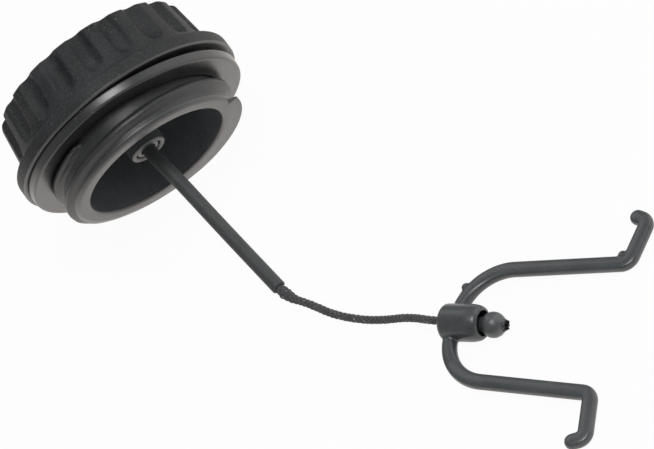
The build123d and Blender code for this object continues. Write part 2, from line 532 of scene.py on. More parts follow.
@dataclass(frozen=True)
class TurningAxis:
    """The axis of a turned piece: where it starts and which way it runs, in millimetres."""

    origin: Vector
    along: Vector
    across: Vector

    def points(self, radius: np.ndarray, angle: np.ndarray, height: np.ndarray) -> np.ndarray:
        """Turn cylinder coordinates into points of the row frame.

        Args:
            radius: Distances from the axis, in millimetres.
            angle: Angles about the axis, in radians.
            height: Distances along the axis, in millimetres.

        Returns:
            The points, in metres, with one more dimension than the arguments.
        """
        side = self.along.cross(self.across)
        parts = [
            self.origin[k]
            + self.along[k] * height
            + radius * (self.across[k] * np.cos(angle) + side[k] * np.sin(angle))
            for k in range(3)
        ]
        return np.stack(np.broadcast_arrays(*parts), axis=-1) * MM


def rounded_profile(corners: Profile, step: float) -> tuple[np.ndarray, np.ndarray]:
    """Round the corners of a turned piece's outline and divide its sides.

    Args:
        corners: Radius, height and rounding of each corner, in millimetres.
        step: The longest side left undivided, in millimetres.

    Returns:
        The radii and the heights along the outline.
    """
    outline: list[Vector] = []
    spots = [Vector((radius, height)) for radius, height, _ in corners]
    for index, (spot, (_, _, rounding)) in enumerate(zip(spots, corners)):
        if rounding <= 0.0:
            outline.append(spot)
            continue
        to_last = (spots[index - 1] - spot).normalized()
        to_next = (spots[index + 1] - spot).normalized()
        half = to_last.angle(to_next) / 2.0
        centre = spot + (to_last + to_next).normalized() * (rounding / math.sin(half))
        start = spot + to_last * (rounding / math.tan(half)) - centre
        end = spot + to_next * (rounding / math.tan(half)) - centre
        turn = start.angle(end)
        count = max(3, math.ceil(turn * rounding / ARC_STEP))
        for k in range(count + 1):
            before, after = math.sin((1.0 - k / count) * turn), math.sin(k / count * turn)
            outline.append(centre + (start * before + end * after) / math.sin(turn))
    fine = [outline[0]]
    for spot in outline[1:]:
        base = fine[-1]
        pieces = max(1, math.ceil((spot - base).length / step))
        fine.extend(base.lerp(spot, k / pieces) for k in range(1, pieces + 1))
    return np.array([p.x for p in fine]), np.array([p.y for p in fine])


def soft_min(first: np.ndarray, second: np.ndarray, width: float) -> np.ndarray:
    """Return the smaller of two surfaces, with their meeting edge rounded.

    Args:
        first: The first surface.
        second: The second surface.
        width: How far the rounding reaches, in the surfaces' units.

    Returns:
        The blended surface.
    """
    share = np.clip(0.5 + 0.5 * (second - first) / width, 0.0, 1.0)
    return second * (1.0 - share) + first * share - width * share * (1.0 - share)


def soft_step(value: np.ndarray) -> np.ndarray:
    """Return a step from 0 to 1 with soft ends.

    Args:
        value: How far along the step each place is, from 0 to 1 and beyond.

    Returns:
        The step's values.
    """
    share = np.clip(value, 0.0, 1.0)
    return share * share * (3.0 - 2.0 * share)


def full_circle(count: int) -> np.ndarray:
    """Return evenly spaced angles round a full turn."""
    return np.linspace(0.0, FULL_TURN, count, endpoint=False)


def link_object(name: str, data: bpy.types.ID) -> bpy.types.Object:
    """Make an object and put it in the scene.

    Args:
        name: The object's name.
        data: Its mesh, curve, camera or lamp.

    Returns:
        The object.
    """
    made = bpy.data.objects.new(name, data)
    bpy.context.scene.collection.objects.link(made)
    return made


def grid_object(name: str, points: np.ndarray) -> bpy.types.Object:
    """Make a mesh of closed rings that are joined to each other.

    Args:
        name: The object's name.
        points: Rings of points, in metres, as an array of rings by points by 3.

    Returns:
        The object, with its doubles merged and its faces pointing outwards.
    """
    rings, count = points.shape[:2]
    here = np.arange(rings * count).reshape(rings, count)
    after = np.roll(here, -1, axis=1)
    faces = np.stack([here[:-1], after[:-1], after[1:], here[1:]], axis=-1).reshape(-1, 4)
    mesh = bpy.data.meshes.new(name)
    mesh.from_pydata(points.reshape(-1, 3).tolist(), [], faces.tolist())
    return close_mesh(name, mesh)


def close_mesh(name: str, mesh: bpy.types.Mesh) -> bpy.types.Object:
    """Merge a mesh's doubles, turn its faces outwards, shade it smooth and link it.

    Args:
        name: The object's name.
        mesh: The mesh, in the row frame.

    Returns:
        The object that shows the mesh.
    """
    work = bmesh.new()
    work.from_mesh(mesh)
    bmesh.ops.remove_doubles(work, verts=work.verts, dist=MERGE_DISTANCE)
    bmesh.ops.recalc_face_normals(work, faces=work.faces)
    for face in work.faces:
        face.smooth = True
    work.to_mesh(mesh)
    work.free()
    return link_object(name, mesh)


def bake_modifiers(piece: bpy.types.Object) -> None:
    """Turn a piece's modifiers into its plain mesh.

    Args:
        piece: The object whose mesh is replaced by the evaluated one.
    """
    graph = bpy.context.evaluated_depsgraph_get()
    mesh = bpy.data.meshes.new_from_object(piece.evaluated_get(graph))
    old = piece.data
    piece.modifiers.clear()
    piece.data = mesh
    bpy.data.meshes.remove(old)
    for face in mesh.polygons:
        face.use_smooth = True


def rest_on_floor(piece: bpy.types.Object) -> None:
    """Flatten the little of a piece that would sink into the floor.

    Args:
        piece: The piece that lies on the floor.
    """
    for vertex in piece.data.vertices:
        vertex.co.z = max(vertex.co.z, 0.0)


def dress(piece: bpy.types.Object, materials: Sequence[bpy.types.Material], body: Body) -> None:
    """Give a piece its materials and the body it rides on.

    Args:
        piece: The finished piece.
        materials: Its materials, in the order of its faces' indices.
        body: The body it moves with.
    """
    chosen = np.zeros(len(piece.data.polygons), dtype=np.int32)
    piece.data.polygons.foreach_get("material_index", chosen)
    piece.data.materials.clear()
    for material in materials:
        piece.data.materials.append(material)
    piece.data.polygons.foreach_set("material_index", chosen)
    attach(piece, body.value)


def mount(name: str) -> tuple[Vector, Vector]:
    """Look up one of the record's mounts.

    Args:
        name: The mount's name.

    Returns:
        Its place, in millimetres, and its axis.
    """
    found = next(entry for entry in frame["record"]["mounts"] if entry["name"] == name)
    return Vector(found["pos_m"]) / MM, Vector(found["axis"]).normalized()


CAP_HEIGHT = 23.7
FLANGE_UNDERSIDE = 9.2
CROWN, CAP_ALONG = mount("crown_face")
CAP_AXIS = TurningAxis(CROWN - CAP_ALONG * CAP_HEIGHT, CAP_ALONG, Vector((1.0, 0.0, 0.0)))

SWIVEL = frame["record"]["behaviour"]["joints"][0]
CLIP_ALONG = Vector(SWIVEL["axis"]).normalized()
CLIP_ACROSS = Vector((0.0, 0.0, 1.0)).cross(CLIP_ALONG).normalized()
CLIP_AXIS = TurningAxis(Vector(SWIVEL["pos_m"]) / MM, CLIP_ALONG, CLIP_ACROSS)
CLIP_UP = CLIP_ALONG.cross(CLIP_ACROSS)


@dataclass
class SealingRing:
    """The loose ring under the flange: it lies on the flange at one side and hangs off it at the other."""

    outside: float = 24.25
    inside: float = 19.05
    thickness: float = 2.05
    draft: float = 0.2
    rounding: float = 0.3
    back_rounding: float = 0.22
    inner_rounding: float = 0.25
    clearance: float = 0.03
    shut: float = 0.2
    wide: float = 0.75
    gap: float = 0.60
    askew: Span = (0.55, math.radians(12.6))
    warp: Span = (0.17, math.radians(-29.7))
    step: float = 0.5
    points_round: int = 320

    def build(self) -> Pieces:
        """Build and dress the ring.

        Returns:
            The mesh that stands for its CAD node.
        """
        middle = self.thickness / 2.0
        radius, height = rounded_profile(
            [
                (self.inside, middle, 0.0),
                (self.inside, 0.0, self.inner_rounding),
                (self.outside - self.draft, 0.0, self.rounding),
                (self.outside, self.thickness, self.back_rounding),
                (self.inside, self.thickness, self.inner_rounding),
                (self.inside, middle, 0.0),
            ],
            self.step,
        )
        angle = full_circle(self.points_round)
        levels = self.face(angle)[None, :] + height[:, None]
        ring = grid_object("sealing_ring_skin", CAP_AXIS.points(radius[:, None], angle[None, :], levels))
        rest_on_floor(ring)
        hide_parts("sealing_ring")
        dress(ring, [RING_RUBBER.material()], Body.CAP)
        return [ring]

    def face(self, angle: np.ndarray) -> np.ndarray:
        """Tell how the ring lies on the neck.

        Args:
            angle: Angles about the cap's axis, in radians.

        Returns:
            The heights of the ring's face towards the mouth.
        """
        hang = self.gap + self.askew[0] * np.cos(angle - self.askew[1])
        hang = hang + self.warp[0] * np.cos(2.0 * angle - self.warp[1])
        hang = self.clearance + hang * soft_step((hang - self.shut) / (self.wide - self.shut))
        return FLANGE_UNDERSIDE - self.thickness - hang


@dataclass
class CapMoulding:
    """The cap's one-piece body: fluted grip, flange, threaded neck, mouth and boss."""

    grip_top: float = 21.25
    grip_base: float = 22.65
    flange: float = 25.0
    flange_top: float = 12.3
    neck: float = 18.8
    mouth: float = 15.6
    mouth_floor: float = 20.9
    boss: float = 3.95
    boss_bore: float = 2.7
    boss_depth: float = 2.9
    bore_depth: float = 9.0
    crown_rounding: float = 1.1
    grip_foot: float = 1.4
    flange_rounding: float = 0.45
    flange_lower_rounding: float = 0.4
    neck_root: float = 0.25
    neck_rim: float = 0.9
    mouth_rim: float = 0.5
    mouth_foot: float = 1.1
    boss_foot: float = 0.6
    boss_rim: float = 0.55
    grip_step: float = 0.5
    neck_step: float = 0.32
    mouth_step: float = 1.6
    flute_count: int = 20
    flute_radius: float = 2.3
    flute_depth: float = 1.35
    flute_foot: float = 16.2
    flute_clear: float = 0.8
    flute_reach: float = 17.0
    flute_phase: float = math.radians(11.0)
    flute_softness: float = 0.32
    thread: float = 20.2
    pitch: float = 4.1
    turns: float = 1.685
    start_height: float = -0.25
    ridge_base: float = 1.9
    ridge_crest: float = 0.9
    ridge_flare: float = 0.15
    flank_share: float = 0.6
    root_clear: float = 0.2
    runout: float = math.radians(6.0)
    ring_clearance: float = 0.05
    ring_relief: float = 4.0
    texture_edge: float = 0.42
    mouth_edge: float = 0.9
    boss_edge: float = 0.6
    neck_edge: float = 1.0
    wall_skin: float = 0.05
    floor_skin: float = 0.1
    points_round: int = 400

    def build(self) -> Pieces:
        """Build and dress the cap's body.

        Returns:
            The mesh that stands for its CAD node.
        """
        flange_middle = (self.flange_top + FLANGE_UNDERSIDE) / 2.0
        rim_middle = (self.neck + self.mouth) / 2.0
        bore_floor = self.boss_depth + self.bore_depth
        upper = rounded_profile(
            [
                (0.0, CAP_HEIGHT, 0.0),
                (self.grip_top, CAP_HEIGHT, self.crown_rounding),
                (self.grip_base, self.flange_top, self.grip_foot),
                (self.flange, self.flange_top, self.flange_rounding),
                (self.flange, flange_middle, 0.0),
            ],
            self.grip_step,
        )
        lower = rounded_profile(
            [
                (self.flange, flange_middle, 0.0),
                (self.flange, FLANGE_UNDERSIDE, self.flange_lower_rounding),
                (self.neck, FLANGE_UNDERSIDE, self.neck_root),
                (self.neck, 0.0, self.neck_rim),
                (rim_middle, 0.0, 0.0),
            ],
            self.neck_step,
        )
        inner = rounded_profile(
            [
                (rim_middle, 0.0, 0.0),
                (self.mouth, 0.0, self.mouth_rim),
                (self.mouth, self.mouth_floor, self.mouth_foot),
                (self.boss, self.mouth_floor, self.boss_foot),
                (self.boss, self.boss_depth, self.boss_rim),
                (self.boss_bore, self.boss_depth, self.boss_rim),
                (self.boss_bore, bore_floor, 0.0),
                (0.0, bore_floor, 0.0),
            ],
            self.mouth_step,
        )
        outer = [np.concatenate([above, below[1:]]) for above, below in zip(upper, lower)]
        angle = full_circle(self.points_round)
        outer_radius = self._threaded(self._fluted(outer[0], outer[1], angle), outer[1], angle)
        inner_radius = np.repeat(inner[0][1:, None], self.points_round, axis=1)
        radius = np.concatenate([outer_radius, inner_radius])
        height = np.concatenate([outer[1], inner[1][1:]])
        body = grid_object("cap_moulding", CAP_AXIS.points(radius, angle[None, :], height[:, None]))
        rest_on_floor(body)
        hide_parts("cap_body")
        self._sort_faces(body.data)
        finishes = {
            Zone.PLAIN: CAP_PLASTIC,
            Zone.GRIP: GRIP_TEXTURE,
            # The mouth's faces get the lighter painted-fill copy of the cap's plastic.
            Zone.MOUTH: MOUTH_PAINTED_FILL,
            Zone.NECK: NECK_SKIN,
        }
        dress(body, [finishes[zone].material() for zone in Zone], Body.CAP)
        return [body]

    def _sort_faces(self, mesh: bpy.types.Mesh) -> None:
        """Give the grip's, the mouth's and the neck's faces their own material indices.

        Args:
            mesh: The cap's mesh, in the row frame.
        """
        centres = np.zeros(3 * len(mesh.polygons))
        mesh.polygons.foreach_get("center", centres)
        along = np.array(CAP_AXIS.along)
        spots = centres.reshape(-1, 3) / MM - np.array(CAP_AXIS.origin)
        height = spots @ along
        radius = np.linalg.norm(spots - height[:, None] * along, axis=1)
        # The faces inside the mouth, which get the painted fill light.
        inside = (height > self.mouth_edge) & (height < self.mouth_floor + self.floor_skin)
        inside &= radius < self.mouth + self.wall_skin
        boss_rim = (radius < self.boss + self.wall_skin) & (height < self.boss_depth + self.boss_edge)
        grip = height > FLANGE_UNDERSIDE + self.texture_edge
        neck = (height > self.neck_edge) & (height < FLANGE_UNDERSIDE - self.root_clear)
        neck &= radius > self.neck - self.root_clear
        index = np.select(
            [inside & ~boss_rim, grip & ~inside, neck],
            [Zone.MOUTH.value, Zone.GRIP.value, Zone.NECK.value],
            Zone.PLAIN.value,
        )
        mesh.polygons.foreach_set("material_index", index.astype(np.int32))

    def _fluted(self, radius: np.ndarray, height: np.ndarray, angle: np.ndarray) -> np.ndarray:
        """Cut the grip's flutes, each a round groove with a round foot.

        Args:
            radius: The outline's radii.
            height: The outline's heights.
            angle: The angles of a ring's points.

        Returns:
            Radii by ring and angle.
        """
        pitch_angle = FULL_TURN / self.flute_count
        off = (angle - self.flute_phase + pitch_angle / 2.0) % pitch_angle - pitch_angle / 2.0
        rise = CAP_HEIGHT - self.flange_top
        wall = self.grip_base - (self.grip_base - self.grip_top) * (height - self.flange_top) / rise
        middle = (wall + self.flute_radius - self.flute_depth)[:, None]
        below = np.clip(self.flute_foot - height, 0.0, None)[:, None]
        reach = self.flute_radius**2 - below**2 - (middle * np.sin(off)) ** 2
        groove = middle * np.cos(off) - np.sqrt(np.clip(reach, 0.0, None))
        groove = groove + np.clip(-reach, 0.0, None)
        plain = np.repeat(radius[:, None], len(angle), axis=1)
        cut = soft_min(plain, groove, self.flute_softness)
        on_grip = (height > self.flange_top + self.flute_clear)[:, None] & (plain > self.flute_reach)
        return np.where(on_grip, cut, plain)

    def _threaded(self, radius: np.ndarray, height: np.ndarray, angle: np.ndarray) -> np.ndarray:
        """Raise the thread's ridge from the neck, clear of the ring.

        Args:
            radius: Radii by ring and angle.
            height: The outline's heights.
            angle: The angles of a ring's points.

        Returns:
            Radii by ring and angle, with the ridge.
        """
        raised = radius.copy()
        ring_face = SealingRing().face(angle)[None, :] - self.ring_clearance
        under_ring = self.neck + (ring_face - height[:, None]) * self.ring_relief
        on_neck = (height < FLANGE_UNDERSIDE - self.root_clear)[:, None] & (radius < self.thread)
        half_base = self.ridge_base / 2.0 + self.ridge_flare
        flank = (self.ridge_base - self.ridge_crest) * self.flank_share
        for lap in range(math.ceil(self.turns)):
            turn = angle / FULL_TURN + lap
            away = np.abs(height[:, None] - self.start_height - self.pitch * turn[None, :])
            to_end = (self.turns - turn) * FULL_TURN
            fade = soft_step(to_end / self.runout)[None, :]
            ridge = self.neck + (self.thread - self.neck) * soft_step((half_base - away) / flank) * fade
            there = on_neck & (away < half_base) & (to_end > 0.0)[None, :]
            raised = np.where(there, np.maximum(raised, np.minimum(ridge, under_ring)), raised)
        return raised


@dataclass
class TetherAnchor:
    """The bead in the boss, with the collar that shows round the sleeve."""

    radius: float = 2.6
    bore: float = 1.55
    front: float = 3.15
    seat: float = 5.95
    back: float = 8.5
    bore_rounding: float = 0.25
    front_rounding: float = 0.5
    back_rounding: float = 1.3
    step: float = 0.5
    points_round: int = 96

    def build(self) -> Pieces:
        """Build and dress the bead.

        Returns:
            The mesh that stands for its CAD node.
        """
        radius, height = rounded_profile(
            [
                (0.0, self.seat, 0.0),
                (self.bore, self.seat, 0.0),
                (self.bore, self.front, self.bore_rounding),
                (self.radius, self.front, self.front_rounding),
                (self.radius, self.back, self.back_rounding),
                (0.0, self.back, 0.0),
            ],
            self.step,
        )
        angle = full_circle(self.points_round)
        points = CAP_AXIS.points(radius[:, None], angle[None, :], height[:, None])
        bead = grid_object("tether_anchor_skin", points)
        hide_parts("tether_anchor")
        dress(bead, [CLIP_PLASTIC.material()], Body.CAP)
        return [bead]


@dataclass
class RetainerClip:
    """The barrel with its two hooked arms, softened where the mould blends them, and its two nubs."""

    voxel: float = 0.17
    smoothing: int = 6
    cone_start: float = 2.3
    cone_end: float = 4.3
    cone_draw: float = 0.45
    cone_inside: float = 2.75
    barrel_reach: float = 4.2
    front_start: float = 1.0
    front_reach: float = 0.6
    arm_drop: float = 0.6
    arm_flat: float = 0.75
    arm_press: float = 0.6
    arm_clear: float = 4.4
    nubs: tuple[Place, ...] = ((-1.15, 7.5, 0.2), (29.1, 14.75, 0.2))
    nub_radius: float = 0.85

    def build(self) -> Pieces:
        """Build and dress the clip.

        Returns:
            The mesh that stands for its CAD node.
        """
        mesh = frame["nodes"]["retainer_clip"].data.copy()
        self._add_nubs(mesh)
        clip = close_mesh("retainer_clip_skin", mesh)
        remesh = clip.modifiers.new("blend_roots", "REMESH")
        remesh.mode = "VOXEL"
        remesh.voxel_size = self.voxel * MM
        smooth = clip.modifiers.new("soften", "SMOOTH")
        smooth.iterations = self.smoothing
        bake_modifiers(clip)
        self._reshape(clip.data)
        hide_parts("retainer_clip")
        dress(clip, [CLIP_PLASTIC.material()], Body.CLIP)
        return [clip]

    def _add_nubs(self, mesh: bpy.types.Mesh) -> None:
        """Add the two nubs that the mould left on the upper arm.

        Args:
            mesh: The clip's mesh, in the row frame.
        """
        work = bmesh.new()
        work.from_mesh(mesh)
        for reach, width, rise in self.nubs:
            spot = CLIP_AXIS.origin + CLIP_ALONG * reach + CLIP_ACROSS * width + CLIP_UP * rise
            bmesh.ops.create_icosphere(
                work, subdivisions=3, radius=self.nub_radius * MM, matrix=Matrix.Translation(spot * MM)
            )
        work.to_mesh(mesh)
        work.free()

    def _reshape(self, mesh: bpy.types.Mesh) -> None:
        """Draw the barrel's front in to a cone, carry it forward and flatten the arms' tops.

        Args:
            mesh: The clip's mesh, in the row frame.
        """
        origin, along, up = (np.array(part) for part in (CLIP_AXIS.origin, CLIP_ALONG, CLIP_UP))
        spots = np.array([vertex.co[:] for vertex in mesh.vertices]) / MM - origin
        height = spots @ along
        outward = spots - height[:, None] * along
        radius = np.linalg.norm(outward, axis=1)
        on_barrel = radius < self.barrel_reach
        share = np.clip((height - self.cone_start) / (self.cone_end - self.cone_start), 0.0, 1.0)
        drawn = share * share * self.cone_draw * ((radius > self.cone_inside) & on_barrel)
        moved = spots - outward / np.maximum(radius, 1e-6)[:, None] * drawn[:, None]
        front = np.clip((height - self.front_start) / (self.cone_end - self.front_start), 0.0, 1.0)
        moved += (front * front * self.front_reach * on_barrel)[:, None] * along
        proud = np.clip(spots @ up + self.arm_drop - self.arm_flat, 0.0, None)
        on_arm = np.clip((radius - self.arm_clear) / self.arm_clear, 0.0, 1.0)
        moved -= (proud * on_arm * self.arm_press)[:, None] * up
        mesh.vertices.foreach_set("co", ((moved + origin) * MM).ravel())
        mesh.update()


@dataclass
class CordStopper:
    """The bead on the cord's end, with a torn sprue."""

    sag: float = 0.5
    face: float = 1.8
    face_rounding: float = 0.3
    shank: float = 1.45
    ball: float = 2.42
    ball_points: int = 40
    reach: float = 6.75
    sprue_base: float = 1.3
    sprue_tip: float = 0.75
    sprue_length: float = 3.0
    tear: float = 0.35
    tear_span: Span = (-1.0, 0.4)
    tear_lean: float = -0.4
    ripples: tuple[Span, ...] = ((5.0, 0.6), (9.0, 2.1))
    ripple_share: float = 0.5
    fray: float = 0.35
    torn_from: float = 0.6
    seed: int = 7
    step: float = 0.22
    points_round: int = 96

    def build(self) -> Pieces:
        """Build and dress the bead.

        Returns:
            The mesh that stands for its CAD node.
        """
        axis = TurningAxis(CLIP_AXIS.origin - CLIP_UP.normalized() * self.sag, CLIP_ALONG, CLIP_ACROSS)
        neck = self.reach - math.sqrt(self.ball**2 - self.shank**2)
        crown = self.reach + math.sqrt(self.ball**2 - self.sprue_base**2)
        tip = self.reach + self.sprue_length
        sweep = np.linspace(neck - self.reach, crown - self.reach, self.ball_points)
        ball = [(math.sqrt(self.ball**2 - s * s), self.reach + s, 0.0) for s in sweep]
        start: Profile = [(0.0, self.face, 0.0), (self.shank, self.face, self.face_rounding)]
        end: Profile = [(self.sprue_tip, tip, 0.0), (0.0, tip, 0.0)]
        radius, height = rounded_profile([*start, *ball, *end], self.step)
        angle = full_circle(self.points_round)
        rings = np.repeat(radius[:, None], self.points_round, axis=1)
        levels = np.repeat(height[:, None], self.points_round, axis=1)
        torn = np.clip((levels - crown) / (tip - crown), 0.0, 1.0)
        ragged = np.random.default_rng(self.seed).uniform(*self.tear_span, rings.shape)
        coarse = sum(np.sin(angle * waves + phase) for waves, phase in self.ripples)
        levels = levels + torn * self.tear * (ragged + self.ripple_share * coarse[None, :] + self.tear_lean)
        rings = rings * (1.0 + torn * self.fray * ragged)
        bead = grid_object("cord_stopper_skin", axis.points(rings, angle[None, :], levels))
        for polygon in bead.data.polygons:
            reach = (Vector(polygon.center) / MM - axis.origin).dot(axis.along)
            polygon.material_index = int(reach > crown + self.torn_from)
        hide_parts("cord_stopper")
        dress(bead, [BEAD_PLASTIC.material(), TORN_TIP.material()], Body.CAP)
        return [bead]


@dataclass
class Tether:
    """The braided cord from the bead in the boss to the stopper, and the sleeve on its first half."""

    diameter: float = 1.65
    start_depth: float = 5.9
    leave_depth: float = 2.0
    entry_reach: float = -5.0
    entry_rise: float = 0.4
    end_reach: float = 1.72
    spline_steps: int = 16
    spline_order: int = 3
    sleeve: float = 1.45
    sleeve_bore: float = 0.95
    sleeve_start: float = 0.25
    sleeve_length: float = 43.2
    sleeve_edge: float = 0.22
    sleeve_rings: int = 120
    sleeve_sides: int = 48
    strands: int = 10
    lay: float = 5.6
    strand_radius: float = 0.25
    wave: float = 0.07
    sample: float = 0.16
    lump: float = 0.55
    lump_length: float = 2.0
    lump_lead: float = 1.7
    rough: float = 0.16

    def route(self) -> list[Vector]:
        """Lay out the tether: out of the boss, down to the floor and up into the clip's barrel.

        Returns:
            The spline's control points, in millimetres.
        """
        floor = self.diameter / 2.0
        laid = [
            (1.1, -15.4, 15.0),
            (2.0, -23.1, 10.9),
            (3.1, -31.9, 6.9),
            (4.1, -39.4, 3.8),
            (5.1, -47.0, floor),
            (7.8, -51.6, floor),
            (10.7, -58.3, floor),
            (14.7, -64.1, floor),
            (18.5, -68.5, floor + 0.5),
            (22.8, -74.1, floor + 2.9),
        ]
        return [
            CAP_AXIS.origin + CAP_ALONG * self.start_depth,
            CAP_AXIS.origin + CAP_ALONG * self.leave_depth,
            *(Vector(spot) for spot in laid),
            CLIP_AXIS.origin + CLIP_ALONG * self.entry_reach + CLIP_UP * self.entry_rise,
            CLIP_AXIS.origin + CLIP_ALONG * self.end_reach,
        ]

    def line(self) -> np.ndarray:
        """Draw the route as a smooth spline.

        Returns:
            Points along the spline, in metres.
        """
        route = self.route()
        curve = bpy.data.curves.new("tether_line", "CURVE")
        curve.dimensions = "3D"
        curve.resolution_u = self.spline_steps
        spline = curve.splines.new("NURBS")
        spline.points.add(len(route) - 1)
        for point, spot in zip(spline.points, route):
            point.co = (*(spot * MM), 1.0)
        spline.order_u = self.spline_order
        spline.use_endpoint_u = True
        holder = link_object("tether_line", curve)
        graph = bpy.context.evaluated_depsgraph_get()
        mesh = bpy.data.meshes.new_from_object(holder.evaluated_get(graph))
        points = np.array([vertex.co[:] for vertex in mesh.vertices])
        bpy.data.objects.remove(holder)
        bpy.data.curves.remove(curve)
        bpy.data.meshes.remove(mesh)
        return points

    def build(self) -> Pieces:
        """Returns:
            The two meshes.
        """
        points = self.line()
        sleeve = self._sleeve(points)
        cord = self._braid(points)
        return [sleeve, cord]

    def _sleeve(self, points: np.ndarray) -> bpy.types.Object:
        """Build and dress the tube over the first part of the line.

        Args:
            points: The line's points, in metres.

        Returns:
            The mesh that stands for its CAD node.
        """
        steps = np.linalg.norm(np.diff(points, axis=0), axis=1)
        along = np.concatenate([[0.0], np.cumsum(steps)])
        stations = np.linspace(self.sleeve_start * MM, self.sleeve_length * MM, self.sleeve_rings)
        middle = np.stack([np.interp(stations, along, points[:, k]) for k in range(3)], axis=-1)
        tangent = np.gradient(middle, axis=0)
        tangent /= np.linalg.norm(tangent, axis=1, keepdims=True)
        side = np.cross(tangent, np.array([0.0, 0.0, 1.0]))
        side /= np.linalg.norm(side, axis=1, keepdims=True)
        up = np.cross(side, tangent)
        edge = self.sleeve_edge
        rims = [
            (0, 0.0, self.sleeve_bore),
            (0, 0.0, self.sleeve - edge),
            (0, edge, self.sleeve),
            *((k, 0.0, self.sleeve) for k in range(2, self.sleeve_rings - 2)),
            (-1, -edge, self.sleeve),
            (-1, 0.0, self.sleeve - edge),
            (-1, 0.0, self.sleeve_bore),
            *((k, 0.0, self.sleeve_bore) for k in range(self.sleeve_rings - 2, -1, -1)),
        ]
        angle = full_circle(self.sleeve_sides)
        rings = []
        for k, shift, radius in rims:
            centre = middle[k] + tangent[k] * shift * MM
            turn = side[k] * np.cos(angle)[:, None] + up[k] * np.sin(angle)[:, None]
            rings.append(centre + turn * radius * MM)
        tube = grid_object("tether_sleeve_skin", np.array(rings))
        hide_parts("tether_sleeve")
        dress(tube, [SLEEVE_TUBE.material()], Body.CAP)
        return tube

    def _braid(self, points: np.ndarray) -> bpy.types.Object:
        """Braid the cord's strands along the line with Geometry Nodes, and dress it.

        Args:
            points: The line's points, in metres.

        Returns:
            The mesh that stands for its CAD node.
        """
        mesh = bpy.data.meshes.new("tether_cord_braid")
        mesh.from_pydata(points.tolist(), [(k, k + 1) for k in range(len(points) - 1)], [])
        cord = link_object("tether_cord_braid", mesh)
        material = CORD_YARN.material()
        sizes = {
            "Strands": self.strands,
            "Lay": self.lay * MM,
            "Cord Radius": self.diameter / 2.0 * MM,
            "Strand Radius": self.strand_radius * MM,
            "Wave": self.wave * MM,
            "Sample": self.sample * MM,
            "Lump": self.lump,
            "Lump Length": self.lump_length * MM,
            "Lump Place": (self.sleeve_length + self.lump_lead) * MM,
            "Rough": self.rough * MM,
        }
        BraidTree(material, sizes).apply(cord)
        rest_on_floor(cord)
        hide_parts("tether_cord")
        dress(cord, [material], Body.CAP)
        return cord


class GeometryTree(NodeTree):
    """A Geometry Nodes tree under construction, with its sizes as named inputs."""

    def __init__(self, name: str, values: dict[str, float]) -> None:
        """Start a tree with its named inputs.

        Args:
            name: The tree's name.
            values: Names and values of its sizes.
        """
        super().__init__(bpy.data.node_groups.new(name, "GeometryNodeTree"))
        self.values = values
        face = self.tree.interface
        face.new_socket("Geometry", in_out="INPUT", socket_type="NodeSocketGeometry")
        for label, value in values.items():
            kind = "NodeSocketInt" if isinstance(value, int) else "NodeSocketFloat"
            face.new_socket(label, in_out="INPUT", socket_type=kind)
        face.new_socket("Geometry", in_out="OUTPUT", socket_type="NodeSocketGeometry")
        given = self.node("NodeGroupInput", {}, {}).outputs
        self.geometry = given["Geometry"]
        self.sizes = {label: Value(self, given[label]) for label in values}

    def vector(self, operation: str, inputs: dict[Any, Any]) -> bpy.types.NodeSocket:
        """Return the result of one Vector Math node.

        Args:
            operation: The node's operation.
            inputs: Its inputs, by name or number.

        Returns:
            The result's socket.
        """
        return self.node("ShaderNodeVectorMath", {"operation": operation}, inputs).outputs[0]

    def close(self, geometry: bpy.types.NodeSocket, material: bpy.types.Material) -> None:
        """End the tree in Realize Instances and Set Material.

        Args:
            geometry: The geometry to hand out.
            material: The material it gets.
        """
        real = self.node("GeometryNodeRealizeInstances", {}, {0: geometry})
        painted = self.node(
            "GeometryNodeSetMaterial", {}, {"Geometry": real.outputs[0], "Material": material}
        )
        self.node("NodeGroupOutput", {}, {0: painted.outputs[0]})

    def apply(self, piece: bpy.types.Object) -> None:
        """Run the tree on a piece and keep the result as its plain mesh.

        Args:
            piece: The object that carries the tree's geometry.
        """
        modifier = piece.modifiers.new(self.tree.name, "NODES")
        modifier.node_group = self.tree
        for item in self.tree.interface.items_tree:
            if item.item_type == "SOCKET" and item.in_out == "INPUT" and item.name in self.values:
                modifier[item.identifier] = self.values[item.name]
        bake_modifiers(piece)


